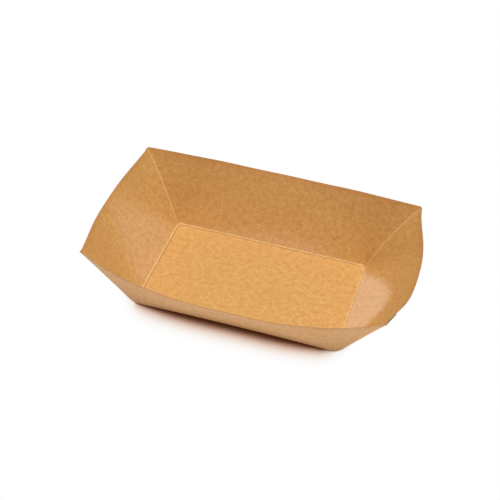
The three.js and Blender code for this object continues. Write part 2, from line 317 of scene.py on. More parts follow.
@dataclass
class FoldedCorner:
    """The web at one corner, folded in half against the outside of the end panel.

    A section is square to the corner's edge: u runs along the end panel away from the
    edge, v outwards through the layers. Both skins of the sheet are given in it.

    Attributes:
        end: The end that it is at, minus one or one along X.
        side: The side that it is at, minus one or one along Y.
        fold_steps: Steps round each tight fold.
        layer_steps: Steps along each flat layer.
        wrap_steps: Steps round the bend at the corner's edge.
        row_passes: How often a row is moved to where the cut meets its layers.
        wrap_mark: How much of a fold the bend at the corner's edge counts as.
    """

    board: BoardSizes
    end: int
    side: int
    end_panel: Panel
    long_panel: Panel
    fold_steps: int = 8
    layer_steps: int = 14
    wrap_steps: int = 6
    row_passes: int = 3
    wrap_mark: float = 0.55

    def __post_init__(self) -> None:
        """Work out the corner's directions and angles."""
        place = (self.end, self.side)
        self.end_which = self.end_panel.feet.index(place)
        self.long_which = self.long_panel.feet.index(place)
        end_fan = self.end_panel.fans[self.end_which]
        long_fan = self.long_panel.fans[self.long_which]
        self.foot = end_fan.apex
        self.edge = end_fan.directions[-1]
        self.reach = float(np.linalg.norm(self.board.rim_corner(*place) - self.foot))
        self.in_end = self.square_to_edge(end_fan.directions[-2])
        self.in_long = self.square_to_edge(long_fan.directions[-2])
        self.outwards = unit((self.in_long @ self.in_end) * self.in_end - self.in_long)
        self.opening = math.acos(float(self.in_end @ self.in_long))
        self.web_angle = (1.5 * math.pi - end_fan.angles[-1] - long_fan.angles[-1]) / 2
        self.fold_radius = self.board.thickness + self.board.layer_gap / 2
        room = self.nose(1.0) + self.fold_radius + self.board.layer_gap
        self.pinch_end = room / math.tan(self.web_angle)
        self.rim_slope = -1.0 / math.tan(end_fan.angles[-1])
        self.dip_slope = self.board.web_dip / (self.reach * math.tan(self.web_angle))

    def square_to_edge(self, inside: np.ndarray) -> np.ndarray:
        """Give the direction in a panel that is square to the corner's edge."""
        return unit(inside - (inside @ self.edge) * self.edge)

    def nose(self, share: float) -> float:
        """Give the distance from the edge to the centre of the end panel's fold."""
        lift = self.fold_radius * (1 - math.cos(self.opening)) + self.board.layer_gap
        return share * lift / math.sin(self.opening)

    def share_at(self, distance: float) -> float:
        """Tell how much of their full size the layers have at a distance up the edge."""
        return min(1.0, distance / self.pinch_end)

    def section(self, distance: float) -> tuple[np.ndarray, np.ndarray, np.ndarray]:
        """Trace both skins from the long panel round the web to the end panel.

        Args:
            distance: Distance up the corner's edge.

        Returns:
            The inside skin, the outside skin, and how much of a fold each place is.
        """
        share = self.share_at(distance)
        t, g = share * self.board.thickness, share * self.board.layer_gap
        wrap, nose = share * self.board.wrap_radius, self.nose(share)
        width = distance * math.tan(self.web_angle)
        turn = math.pi - self.opening
        stack = 3 * t + 2 * g
        meet = -(t + stack * math.cos(self.opening)) / math.sin(self.opening)
        centre = np.array([meet + wrap * math.tan(turn / 2), stack - wrap])
        ring = t + g / 2
        middle = np.array([width - ring, 2 * t + 1.5 * g])
        end = np.array([nose, t + g / 2])
        long_out = np.array([-math.sin(self.opening), -math.cos(self.opening)])
        inner, outer, fold = [np.zeros(2)], [t * long_out], [0.0]

        def add_arc(
            at: np.ndarray, inside: float, outside: float, start: float, stop: float
        ) -> None:
            """Add an arc of the sheet with the radius of each of its skins.

            Args:
                at: The arc's centre.
                inside: Radius of the inside skin.
                outside: Radius of the outside skin.
                start: Angle that it starts at.
                stop: Angle that it ends at.
            """
            steps = self.wrap_steps if at is centre else self.fold_steps
            for angle in np.linspace(start, stop, steps + 1):
                ray = np.array([math.cos(angle), math.sin(angle)])
                inner.append(at + inside * ray)
                outer.append(at + outside * ray)
                fold.append(self.wrap_mark if at is centre else 1.0)

        def add_layer(towards: tuple[np.ndarray, np.ndarray]) -> None:
            """Add the flat stretch of a layer up to the place where it folds next.

            Args:
                towards: Where the two skins are at the layer's end.
            """
            last = (inner[-1], outer[-1])
            for step in ease(np.linspace(0.0, 1.0, self.layer_steps + 1))[1:-1]:
                inner.append(last[0] + (towards[0] - last[0]) * step)
                outer.append(last[1] + (towards[1] - last[1]) * step)
                fold.append(0.0)

        half = math.pi / 2
        add_arc(centre, wrap - t, wrap, half + turn, half)
        add_layer((middle + [0, g / 2], middle + [0, ring]))
        add_arc(middle, g / 2, ring, half, -half)
        add_layer((end + [0, ring], end + [0, g / 2]))
        add_arc(end, ring, g / 2, half, 3 * half)
        return np.array(inner), np.array(outer), np.array(fold)

    def place(self, distance: np.ndarray, section: np.ndarray) -> np.ndarray:
        """Put section points at their distances up the corner's edge into space."""
        across = section[:, :1] * self.in_end + section[:, 1:] * self.outwards
        return self.foot + distance[:, None] * self.edge + across

    def row(self, share: float) -> tuple[np.ndarray, np.ndarray, np.ndarray, np.ndarray]:
        """Trace one row of the sheet round the corner, level with the cut of the rim.

        Args:
            share: How far up the row is, from the base corner to the rim.

        Returns:
            Inside points, outside points, fold marks and distances up the edge.
        """
        height = share * self.reach
        inner, outer, fold = self.section(height)
        places = np.full(len(inner), height)
        for _ in range(self.row_passes):
            found = [self.section(distance) for distance in places]
            inner = np.array([made[0][k] for k, made in enumerate(found)])
            outer = np.array([made[1][k] for k, made in enumerate(found)])
            past_nose = np.maximum(inner[:, 0] - self.nose(self.share_at(height)), 0.0)
            places = height - self.rim_slope * np.maximum(inner[:, 0], 0.0)
            places -= self.dip_slope * past_nose
        return self.place(places, inner), self.place(places, outer), fold, places


@dataclass
class Imperfections:
    """How the real sheet departs from an ideal fold, and where a highlight is painted on the feet of
    its panels.

    Attributes:
        bows: For each corner, how far the middle of its edge is drawn in along X.
        bow_reach: Distance from the edge over which that dies away.
        ripple: Height of the slow waves in the board.
        ripple_length: Length of those waves.
        ripple_start: Height at which the waves start.
        settled_height: Height over which they grow from nothing.
        waves: For the shift along X and the one along Y, how fast the wave turns with
            the other level direction and with the height, where it starts, and how fast
            it swells along its own direction.
        arch: How far the middle of the front crease is lifted off the floor.
        arch_reach: Distance from that crease over which the lift dies away.
        dish: How far the right panel is pushed out along the edge of its shallow foot.
        dish_reach: Greatest distance of that edge from the crease.
        dish_skew: Power that draws the edge's widest place towards the front.
        dish_ends: Power that draws the edge in at both ends of the panel.
        dish_ridge: Power that sharpens the bend between the foot and the rest.
        dish_least: Least distance of that edge from the crease.
        painted_highlight_feet: For each panel, how far the painted highlight on its foot
        reaches from the crease, over which distance it blends into the rest, and how
        strong it is. It is painted light and sheen where the foot faces the light more.
    """

    bows: dict[Foot, float] = field(
        default_factory=lambda: {
            (-1, 1): 1.2 * MM,
            (1, 1): 2.2 * MM,
            (-1, -1): 0.3 * MM,
            (1, -1): 0.5 * MM,
        }
    )
    bow_reach: float = 24 * MM
    ripple: float = 0.16 * MM
    ripple_length: float = 46 * MM
    ripple_start: float = 1 * MM
    settled_height: float = 16 * MM
    waves: tuple[tuple[float, float, float, float], ...] = (
        (0.9, 1.3, 0.7, 0.4),
        (1.1, -0.8, 2.1, 0.3),
    )
    arch: float = 0.9 * MM
    arch_reach: float = 18 * MM
    dish: float = 2.2 * MM
    dish_reach: float = 29 * MM
    dish_skew: float = 0.85
    dish_ends: float = 1.5
    dish_ridge: float = 6.0
    dish_least: float = 0.01 * MM
    painted_highlight_feet: dict[Side, tuple[float, float, float]] = field(
        default_factory=lambda: {
            Side.RIGHT: (31 * MM, 8 * MM, 1.0),
            Side.LEFT: (60 * MM, 40 * MM, 0.32),
            Side.BACK: (14 * MM, 14 * MM, 0.3),
        }
    )

    def dish_depth(self, points: np.ndarray, panel: Panel) -> tuple[np.ndarray, np.ndarray]:
        """Find how far up a panel points are and how far its foot reaches there.

        Args:
            points: Points on or near the panel.
            panel: The panel that has the shallow foot.

        Returns:
            Distances up the panel, and the foot's reach as a share of its greatest.
        """
        away = points - panel.corners[0]
        share = np.clip(away @ panel.along / panel.crease_length, 0.0, 1.0) ** self.dish_skew
        return away @ panel.upslope, (4 * share * (1 - share)) ** self.dish_ends

    def dished(self, points: np.ndarray, panel: Panel) -> np.ndarray:
        """Give the shift that makes a panel's foot shallower and the rest steeper.

        Args:
            points: Points on or near the panel.
            panel: The panel that has the shallow foot.

        Returns:
            The shift of each point.
        """
        up, share = self.dish_depth(points, panel)
        foot = self.dish_reach * share
        rise = np.maximum(up / (foot + self.dish_least), LEAST_SHARE)
        fall = np.maximum((panel.slant - up) / (panel.slant - foot), LEAST_SHARE)
        power = self.dish_ridge
        bulge = (rise**-power + fall**-power) ** (-1 / power) * share
        lean = math.radians(panel.lean_deg)
        outwards = math.sin(lean) * panel.level - math.cos(lean) * UP
        return self.dish * bulge[:, None] * outwards

    def painted_highlight(self, points: np.ndarray, panel: Panel) -> np.ndarray:
        """Paint a highlight on the foot of a panel, where it faces the light more than the rest:
        painted light and sheen.

        Args:
            points: Points on the panel.
            panel: The panel.

        Returns:
            How strong the painted highlight is at each point.
        """
        if panel.side not in self.painted_highlight_feet:
            return np.zeros(len(points))
        up, share = self.dish_depth(points, panel)
        reach, blend, amount = self.painted_highlight_feet[panel.side]
        return amount * ease(0.5 + (reach * share - blend / 2 - up) / blend) * (up > 0)

    def move(self, points: np.ndarray, corners: list[FoldedCorner]) -> np.ndarray:
        """Shift points of the ideal sheet to where the real one has them.

        Args:
            points: Points of either skin.
            corners: The four folded corners.

        Returns:
            The shifted points.
        """
        moved = points.copy()
        for corner in corners:
            away = points - corner.foot
            up = np.clip(away @ corner.edge / corner.reach, 0.0, 1.0)
            gap = np.linalg.norm(away - (up * corner.reach)[:, None] * corner.edge, axis=1)
            fade = ease(1.0 - gap / self.bow_reach)
            bow = self.bows[(corner.end, corner.side)]
            moved[:, 0] -= corner.end * bow * 4 * up * (1 - up) * fade
        moved += self.dished(points, corners[-1].end_panel)
        board = corners[0].board
        along = np.clip(2 * points[:, 0] / board.base_length, -1.0, 1.0)
        from_crease = np.hypot(points[:, 1] + board.base_width / 2, points[:, 2])
        moved[:, 2] += self.arch * (1 - along**2) * ease(1 - from_crease / self.arch_reach)
        lift = self.ripple * ease((points[:, 2] - self.ripple_start) / self.settled_height)
        x, y, z = points.T * (2 * math.pi / self.ripple_length)
        for axis, (own, other) in enumerate(((x, y), (y, x))):
            per_other, per_up, start, per_own = self.waves[axis]
            wave = np.sin(per_other * other + per_up * z + start) * np.cos(per_own * own)
            moved[:, axis] += lift * wave
        return np.clip(moved, *np.array([list(corner) for corner in CAD_BOX]))


@dataclass
class FoldedSheet:
    """The tray's board as one closed sheet with both skins and its cut edge.

    Attributes:
        bends_deg: For each panel, its lean, where it bends and how far that spreads.
        fine: Distances from a crease or a foot at which the grid always has a line.
        pitch: Widest step of the grid.
        rim_fine: The same for the cut rim, with its nearest line first.
        crease_round: Distance from a crease over which its inside is rounded.
        crease_ramp: How fast that grows with the distance from the crease's foot.
        crease_glow: Distance over which a crease's paler look fades: stretched board, with a painted
            highlight on the score's lit ridge.
        second_line: Distance up the right panel of a second pale line, painted as the highlight on
            the score's second ridge.
        second_share: How pale that line is beside the crease's own.
        crease_end: Distance from its foot over which a crease's paleness comes in.
        seam_highlight_width: Distance over which the painted highlight along a folded corner's seam
            fades.
        seam_highlight_share: How strong that painted highlight is at most.
        seam_highlight_start: Height over which it comes in.
        score_shade_width: Distance over which the painted shade line beside a crease fades.
        score_shade_base: How far that line lies from the crease, on the base.
        score_shade_panel: The same on the right panel, whose line is there instead.
        score_shade_end: Distance from its foot over which the painted shade line comes in.
        rim_glow: Distance from the cut over which the warmer look of the rim fades.
        web_marks: Fold marks where a web meets the long panel and the end panel.
        thin_reach: Distance from a foot over which the board gets its thickness.
        thin_least: Share of the thickness that it has at the foot.
        blank_span: Real width of the blank map.
    """

    board: BoardSizes = field(default_factory=BoardSizes)
    faults: Imperfections = field(default_factory=Imperfections)
    bends_deg: dict[Side, tuple[float, float, float]] = field(
        default_factory=lambda: {
            Side.FRONT: (52.7, 78.2, 44.5),
            Side.RIGHT: (44.4, 67.1, 13.0),
            Side.BACK: (55.3, 78.2, 44.5),
            Side.LEFT: (49.5, 63.7, 13.0),
        }
    )
    fine: tuple[float, ...] = tuple(
        d * MM for d in (0.0, 0.12, 0.25, 0.4, 0.6, 0.85, 1.2, 1.7, 2.4, 3.4, 4.8)
    )
    pitch: float = 1.9 * MM
    rim_fine: tuple[float, ...] = (0.25 * MM, 0.8 * MM)
    crease_round: float = 0.75 * MM
    crease_ramp: float = 0.3
    crease_glow: float = 0.34 * MM
    seam_highlight_width: float = 0.42 * MM
    seam_highlight_share: float = 0.8
    seam_highlight_start: float = 8 * MM
    second_line: float = 1.15 * MM
    second_share: float = 0.6
    crease_end: float = 3 * MM
    score_shade_width: float = 0.3 * MM
    score_shade_base: float = 0.8 * MM
    score_shade_panel: float = 0.55 * MM
    score_shade_end: float = 4 * MM
    rim_glow: float = 2.4 * MM
    web_marks: tuple[float, float] = (0.1, 0.8)
    thin_reach: float = 4 * MM
    thin_least: float = 0.15
    blank_span: float = 300 * MM

    def __post_init__(self) -> None:
        """Lay out panels, corners and the grid's lines."""
        b = self.board
        self.panels = [
            Panel(b, side, feet, outwards, *self.bends_deg[side])
            for side, feet, outwards in (
                (Side.FRONT, ((-1, -1), (1, -1)), (0, -1, 0)),
                (Side.RIGHT, ((1, -1), (1, 1)), (1, 0, 0)),
                (Side.BACK, ((1, 1), (-1, 1)), (0, 1, 0)),
                (Side.LEFT, ((-1, 1), (-1, -1)), (-1, 0, 0)),
            )
        ]
        front, right, back, left = self.panels
        self.corners = [
            FoldedCorner(b, end, side, right if end > 0 else left, back if side > 0 else front)
            for end in (-1, 1)
            for side in (-1, 1)
        ]
        self.across = stations(b.base_length, self.fine, self.pitch, 2)
        self.deep = stations(b.base_width, self.fine, self.pitch, 2)
        slant = front.slant
        rows = stations(slant - self.rim_fine[-1], self.fine, self.pitch, 1)
        edge = slant - np.array([self.rim_fine[0], 0.0])
        self.rows = np.concatenate([rows, edge]) / slant
        self.points: list[np.ndarray] = []
        self.outer: list[np.ndarray] = []
        self.blank: list[tuple[float, float]] = []
        self.pinned: list[bool] = []
        self.marks: dict[Mark, list[float]] = {
            mark: [] for mark in Mark if mark is not Mark.OUTSIDE
        }
        self.quads: list[tuple[int, ...]] = []
        self.web_quads: list[tuple[int, ...]] = []

    def add(
        self,
        point: np.ndarray,
        blank: tuple[float, float],
        marks: dict[Mark, float],
        outer: np.ndarray | None = None,
    ) -> int:
        """Add one place of the sheet.

        Args:
            point: Where its inside skin is.
            blank: Where it lies on the flat blank.
            marks: What the finish is told about it, where that isn't nought.
            outer: Where its outside skin is, if the folds settle that.

        Returns:
            The place's number.
        """
        self.points.append(point)
        self.outer.append(point if outer is None else outer)
        self.pinned.append(outer is not None)
        self.blank.append(blank)
        for mark, values in self.marks.items():
            values.append(float(marks.get(mark, 0.0)))
        return len(self.points) - 1

    def add_quads(self, grid: np.ndarray) -> None:
        """Join the neighbouring places of a grid with faces.

        Args:
            grid: The places' numbers, by row and column.
        """
        for i, j in np.ndindex(grid.shape[0] - 1, grid.shape[1] - 1):
            face = (grid[i, j], grid[i + 1, j], grid[i + 1, j + 1], grid[i, j + 1])
            self.quads.append(tuple(int(number) for number in face))

    def rounding(self, panel: Panel, x: np.ndarray, q: np.ndarray) -> np.ndarray:
        """Give the shift that rounds the inside of a crease.

        Args:
            panel: The panel that the crease belongs to.
            x: Distances along the crease.
            q: Distances from the crease, negative on the base.

        Returns:
            The shift of each place.
        """
        to_foot = np.maximum(np.minimum(x, panel.crease_length - x), 0.0)
        a = np.minimum(self.crease_round, self.crease_ramp * to_foot) + LEAST_LENGTH
        t = (np.clip(q, -a, a) + a) / (2 * a)
        bent = -a * (1 - t) ** 2, a * t**2
        plain = np.minimum(np.clip(q, -a, a), 0), np.maximum(np.clip(q, -a, a), 0)
        level = (bent[0] - plain[0])[..., None] * panel.level
        return level + (bent[1] - plain[1])[..., None] * panel.upslope

    def crease_mark(self, panel: Panel, q: np.ndarray, x: np.ndarray) -> np.ndarray:
        """Mark places close to a crease, where the stretched board looks paler and where a highlight
        on the score's lit ridge is painted.

        Args:
            panel: The panel that the crease belongs to.
            q: Distances from the crease, negative on the base.
            x: Distances along the crease to its nearer foot.

        Returns:
            How pale each place is.
        """
        near = np.exp(-((q / self.crease_glow) ** 2))
        if panel.side is Side.RIGHT:
            second = np.exp(-(((q - self.second_line) / self.crease_glow) ** 2))
            near += self.second_share * second
        return near * ease(x / self.crease_end)

    def painted_score_shade(self, panel: Panel, q: np.ndarray, x: np.ndarray) -> np.ndarray:
        """Paint a dark line of shade beside a crease, on the shaded side of the score's ridge.

        Args:
            panel: The panel that the crease belongs to.
            q: Distances from the crease, negative on the base.
            x: Distances along the crease to its nearer foot.

        Returns:
            The darkness of each place.
        """
        middle = self.score_shade_panel if panel.side is Side.RIGHT else -self.score_shade_base
        near = np.exp(-(((q - middle) / self.score_shade_width) ** 2))
        return near * ease(x / self.score_shade_end)

    def lay_base(self) -> None:
        """Lay the base's grid, with its four creases rounded."""
        half_x, half_y = self.board.base_length / 2, self.board.base_width / 2
        x, y = np.meshgrid(self.across, self.deep, indexing="ij")
        flat = np.stack([x - half_x, y - half_y, np.full(x.shape, self.board.thickness)], axis=-1)
        front, right, back, left = self.panels
        lines = (
            (front, x, y),
            (back, self.board.base_length - x, self.board.base_width - y),
            (right, y, self.board.base_length - x),
            (left, self.board.base_width - y, x),
        )
        shift = np.zeros(flat.shape)
        fold, score_shade = np.zeros(x.shape), np.zeros(x.shape)
        for panel, along, inwards in lines:
            shift += self.rounding(panel, along, -inwards)
            to_foot = np.minimum(along, panel.crease_length - along)
            fold = np.maximum(fold, self.crease_mark(panel, -inwards, to_foot))
            # Painted shade line beside the crease.
            score_shade = np.maximum(score_shade, self.painted_score_shade(panel, -inwards, to_foot))
        place = flat + shift
        self.base = np.zeros(x.shape, int)
        for at in np.ndindex(*x.shape):
            marks = {Mark.FOLD_AND_HIGHLIGHT: fold[at], Mark.PAINTED_SCORE_SHADE: score_shade[at]}
            self.base[at] = self.add(place[at], tuple(flat[at][:2]), marks)
        self.add_quads(self.base)

    def crease_row(self, panel: Panel) -> np.ndarray:
        """Give the numbers of the base's places along a panel's crease.

        Args:
            panel: The panel that the crease belongs to.

        Returns:
            The numbers, from the panel's first foot to its second.
        """
        return {
            Side.FRONT: self.base[:, 0],
            Side.RIGHT: self.base[-1, :],
            Side.BACK: self.base[::-1, -1],
            Side.LEFT: self.base[0, ::-1],
        }[panel.side]

    def on_blank(self, panel: Panel, x: float, y: float) -> tuple[float, float]:
        """Give where a place of a panel lies on the flat blank.

        Args:
            panel: The panel.
            x: Distance along its crease from its first foot.
            y: Distance from the crease.

        Returns:
            The place's two coordinates on the blank.
        """
        start = panel.corners[0][:2]
        spot = start + x * panel.along[:2] + y * panel.level[:2]
        return float(spot[0]), float(spot[1])

    def lay_panel(self, panel: Panel) -> None:
        """Lay a panel's grid up from its crease to the rim.

        Args:
            panel: The panel to lay.
        """
        long = panel.side in (Side.FRONT, Side.BACK)
        columns = self.across if long else self.deep
        if panel.side in (Side.BACK, Side.LEFT):
            columns = panel.crease_length - columns[::-1]
        share = columns / panel.crease_length
        grid = [self.crease_row(panel)]
        ends = [c for c in self.corners if panel in (c.end_panel, c.long_panel)]
        for row in self.rows[1:]:
            y = row * panel.slant
            wider = []
            for which in (0, 1):
                corner = next(c for c in ends if (c.end, c.side) == panel.feet[which])
                held = 0.0 if long else self.fold_setback(panel, which, corner, row)
                wider.append(y * panel.corner_cotangent(which) - held)
            start, stop = -wider[0], panel.crease_length + wider[1]
            x = start + share * (stop - start)
            q = np.full(x.shape, y)
            place = panel.inside(x, q) + self.rounding(panel, x, q)
            to_foot = np.minimum(x, panel.crease_length - x)
            fold = self.crease_mark(panel, q, to_foot)
            # Painted highlight along each folded corner's seam, which lightens the shade in the
            # crevice there.
            if not long:
                to_edge = np.minimum(x - start, stop - x)
                seam_highlight = np.exp(-((to_edge / self.seam_highlight_width) ** 2)) * ease(y / self.seam_highlight_start)
                fold = np.maximum(fold, self.seam_highlight_share * seam_highlight)
            marks = {
                Mark.FOLD_AND_HIGHLIGHT: fold,
                Mark.RIM: np.exp(-(((panel.slant - q) / self.rim_glow) ** 2)),
                # Painted shade line beside the crease.
                Mark.PAINTED_SCORE_SHADE: self.painted_score_shade(panel, q, to_foot),
                # Painted highlight on the panel's foot, where it faces the light more.
                Mark.PAINTED_HIGHLIGHT: self.faults.painted_highlight(place, panel),
            }
            numbers = []
            for k, point in enumerate(place):
                here = {mark: values[k] for mark, values in marks.items()}
                numbers.append(self.add(point, self.on_blank(panel, x[k], y), here))
            grid.append(np.array(numbers))
        panel.grid = np.array(grid)
        self.add_quads(panel.grid)

    def fold_setback(self, panel: Panel, which: int, corner: FoldedCorner, row: float) -> float:
        """Tell how far short of the corner's edge an end panel's flat face stops.

        Args:
            panel: The end panel.
            which: Which of its feet the corner is at.
            corner: The folded corner.
            row: How far up the row is, from the crease to the rim.

        Returns:
            The distance along the row from the edge to the start of the fold.
        """
        distance = row * corner.reach
        nose = corner.nose(corner.share_at(distance))
        return nose / math.sin(panel.fans[which].angles[-1])

    def lay_corner(self, corner: FoldedCorner) -> None:
        """Lay a corner's grid between the long panel's and the end panel's.

        Args:
            corner: The folded corner to lay.
        """
        long_column = corner.long_panel.grid[:, 0 if corner.long_which == 0 else -1]
        end_column = corner.end_panel.grid[:, 0 if corner.end_which == 0 else -1]
        long_fan = corner.long_panel.fans[corner.long_which]
        foot = np.array(corner.foot[:2])
        crease = corner.long_panel.along[:2] * (1 if corner.long_which == 0 else -1)
        outward = corner.long_panel.level[:2]
        grid = []
        for j, share in enumerate(self.rows[1:], start=1):
            inner, outer, fold, places = corner.row(float(share))
            steps = np.linalg.norm(np.diff(inner, axis=0), axis=1)
            across = np.concatenate([[0.0], np.cumsum(steps)])
            across = across / across[-1] * 2 * corner.web_angle
            rim = float(np.exp(-(((1 - share) * corner.reach / self.rim_glow) ** 2)))
            row = [int(long_column[j])]
            self.pin(row[0], inner[0], outer[0], self.web_marks[0])
            for k in range(1, len(inner) - 1):
                angle = long_fan.angles[-1] + across[k]
                spot = foot + places[k] * (math.cos(angle) * crease + math.sin(angle) * outward)
                marks = {Mark.FOLD_AND_HIGHLIGHT: fold[k], Mark.RIM: rim}
                row.append(self.add(inner[k], tuple(spot), marks, outer[k]))
            row.append(int(end_column[j]))
            self.pin(row[-1], inner[-1], outer[-1], self.web_marks[1])
            grid.append(row)
        apex = int(long_column[0])
        turned = corner.long_which == 1
        for k in range(len(grid[0]) - 1):
            faces = [(apex, grid[0][k], grid[0][k + 1])]
            faces += [
                (low[k], high[k], high[k + 1], low[k + 1]) for low, high in zip(grid, grid[1:])
            ]
            for face in faces:
                self.web_quads.append(face if turned else face[::-1])

    def pin(self, number: int, inner: np.ndarray, outer: np.ndarray, fold: float) -> None:
        """Fix both skins of a place that a panel shares with a folded corner.

        Args:
            number: The place's number.
            inner: Where its inside skin is.
            outer: Where its outside skin is.
            fold: The least fold mark that it gets.
        """
        self.points[number] = inner
        self.outer[number] = outer
        self.pinned[number] = True
        self.marks[Mark.FOLD_AND_HIGHLIGHT][number] = max(self.marks[Mark.FOLD_AND_HIGHLIGHT][number], fold)

    def skin_normals(self, points: np.ndarray) -> np.ndarray:
        """Average the outward normals of base and panels at every place.

        Args:
            points: The inside skin.

        Returns:
            Unit normals, or nought at a place that only a folded corner has.
        """
        faces = np.array(self.quads)
        first = points[faces[:, 2]] - points[faces[:, 0]]
        second = points[faces[:, 3]] - points[faces[:, 1]]
        normal = -np.cross(first, second)
        total = np.zeros(points.shape)
        for k in range(4):
            np.add.at(total, faces[:, k], normal)
        length = np.linalg.norm(total, axis=1, keepdims=True)
        return total / np.where(length > 0, length, 1.0)

    def both_skins(self) -> tuple[np.ndarray, np.ndarray]:
        """Work out the inside skin and the outside skin, faults included.

        Returns:
            Where every place is on the inside skin and on the outside skin.
        """
        points, outer = np.array(self.points), np.array(self.outer)
        feet = np.array([corner.foot for corner in self.corners])
        near = np.min(np.linalg.norm(points[:, None] - feet[None], axis=2), axis=1)
        thickness = self.board.thickness * np.clip(near / self.thin_reach, self.thin_least, 1.0)
        offset = points + self.skin_normals(points) * thickness[:, None]
        outer = np.where(np.array(self.pinned)[:, None], outer, offset)
        return self.faults.move(points, self.corners), self.faults.move(outer, self.corners)

    def build(self) -> bpy.types.Object:
        """Build the closed sheet as one object.

        Returns:
            The object, with its blank map and its marks for the finish.
        """
        self.lay_base()
        for panel in self.panels:
            self.lay_panel(panel)
        for corner in self.corners:
            self.lay_corner(corner)
        inner, outer = self.both_skins()
        count = len(inner)
        inside = self.quads + self.web_quads
        outside = [tuple(n + count for n in face[::-1]) for face in inside]
        rim_edges = self.open_edges(inside)
        cut = [(b, a, a + count, b + count) for a, b in rim_edges]
        mesh = bpy.data.meshes.new("tray_board")
        mesh.from_pydata(np.vstack([inner, outer]).tolist(), [], inside + outside + cut)
        self.dress(mesh, len(inside) + len(outside), count, rim_edges)
        mesh.validate()
        mesh.update()
        board = bpy.data.objects.new("tray_board", mesh)
        bpy.context.scene.collection.objects.link(board)
        return board

    def open_edges(self, faces: list[tuple[int, ...]]) -> list[tuple[int, int]]:
        """List the directed edges that only one face has, which are the cut rim."""
        directed = {(a, b) for face in faces for a, b in zip(face, face[1:] + face[:1])}
        return sorted((a, b) for a, b in directed if (b, a) not in directed)

    def dress(
        self, mesh: bpy.types.Mesh, skins: int, count: int, rim: list[tuple[int, int]]
    ) -> None:
        """Give the mesh its material places, smooth skins, blank map and marks.

        Args:
            mesh: The closed sheet.
            skins: How many of its faces belong to the two skins.
            count: How many places each skin has.
            rim: The inside skin's edges along the cut.
        """
        faces = len(mesh.polygons)
        place = np.zeros(faces, np.int32)
        place[skins:] = 1
        mesh.polygons.foreach_set("material_index", place)
        mesh.polygons.foreach_set("use_smooth", np.ones(faces, bool))
        keys = {tuple(sorted(edge)) for edge in rim}
        keys |= {(a + count, b + count) for a, b in keys}
        for edge in mesh.edges:
            edge.use_edge_sharp = tuple(sorted(edge.vertices)) in keys
        blank = np.array(self.blank) / self.blank_span + 0.5
        corners = np.zeros(len(mesh.loops), np.int32)
        mesh.loops.foreach_get("vertex_index", corners)
        mesh.uv_layers.new(name="blank").data.foreach_set("uv", blank[corners % count].ravel())
        layers = {Mark.OUTSIDE: np.repeat([0.0, 1.0], count)}
        for mark, values in self.marks.items():
            outside = values if mark in (Mark.FOLD_AND_HIGHLIGHT, Mark.RIM) else np.zeros(count)
            layers[mark] = np.concatenate([values, outside])
        for mark, values in layers.items():
            layer = mesh.attributes.new(mark.value, "FLOAT", "POINT")
            layer.data.foreach_set("value", values.astype(np.float32))


class Nodes:
    """Short calls that add shader or geometry nodes to one tree and join them."""

    def __init__(self, tree: bpy.types.NodeTree) -> None:
        """Hold the tree."""
        self.tree = tree

    def add(self, kind: str, **values: object) -> bpy.types.Node:
        """Add a node, with its properties set and its inputs fed.

        Args:
            kind: The node's type.
            values: Properties by their names, and inputs by theirs with an underscore
                for each space. An input takes a plain value or a socket.

        Returns:
            The node.
        """
        node = self.tree.nodes.new(kind)
        for name, value in values.items():
            if hasattr(node, name):
                setattr(node, name, value)
            else:
                self.feed(node.inputs[name.replace("_", " ")], value)
        return node

    def feed(self, target: Socket, value: object) -> None:
        """Join a socket to an input, or set the input to a plain value.

        Args:
            target: The input.
            value: A socket or a plain value.
        """
        if isinstance(value, Socket):
            self.tree.links.new(value, target)
        else:
            target.default_value = value

    def maths(self, kind: str, *values: object) -> Socket:
        """Add a maths node on sockets or numbers and give its result.

        Args:
            kind: The operation.
            values: Sockets or numbers, in the order of the inputs.

        Returns:
            The result.
        """
        node = self.add("ShaderNodeMath", operation=kind)
        for target, value in zip(node.inputs, values):
            self.feed(target, value)
        return node.outputs[0]

    def ramp(self, value: Socket, low: float, high: float) -> Socket:
        """Spread the values between two limits evenly from nought to one."""
        node = self.add("ShaderNodeMapRange", Value=value, From_Min=low, From_Max=high)
        return node.outputs["Result"]

    def colours(self, value: Socket, stops: Stops) -> Socket:
        """Turn a value into a colour by stops that rise from one to the next.

        Args:
            value: The value.
            stops: Rising values, each with its colour.

        Returns:
            The colour.
        """
        node = self.add("ShaderNodeValToRGB", Fac=value)
        line = node.color_ramp.elements
        while len(line) < len(stops):
            line.new(1.0)
        for element, (position, tone) in zip(line, stops):
            element.position = position
            element.color = tone
        return node.outputs["Color"]

    def blend(self, share: object, first: object, second: object) -> Socket:
        """Mix two colours, each a socket or a plain colour, by a share.

        Args:
            share: How much of the second colour there is.
            first: The first colour.
            second: The second colour.

        Returns:
            The mixed colour.
        """
        node = self.add("ShaderNodeMix", data_type="RGBA")
        for number, value in zip(MIX_INPUTS, (share, first, second)):
            self.feed(node.inputs[number], value)
        return node.outputs[MIX_OUTPUT]

    def mark(self, mark: Mark) -> Socket:
        """Read one of the sheet's marks."""
        return self.add("ShaderNodeAttribute", attribute_name=mark.value).outputs["Fac"]


def new_material(name: str) -> tuple[bpy.types.Material, Nodes, bpy.types.Node]:
    """Start a material and give it with its tree and its main shader.

    Args:
        name: The material's name.

    Returns:
        The material, its nodes and its main shader.
    """
    material = bpy.data.materials.new(name)
    material.use_nodes = True
    return material, Nodes(material.node_tree), material.node_tree.nodes["Principled BSDF"]


@dataclass(frozen=True)
class Tint:
    """A colour and how much of it there is at most."""

    tone: Colour
    amount: float


@dataclass(frozen=True)
class FibrePattern:
    """One noise pattern in the board and the colour that it brings.

    Attributes:
        scale: Cells for each millimetre of the blank.
        detail: How many finer layers the noise has.
        rough: How strong those are.
        limits: Values of the noise between which the colour comes in.
        tint: The colour that it brings.
        stretch: Factors on the scale, along the blank and across it.
    """

    scale: float
    detail: float
    rough: float
    limits: tuple[float, float]
    tint: Tint
    stretch: tuple[float, float] = (1.0, 1.0)


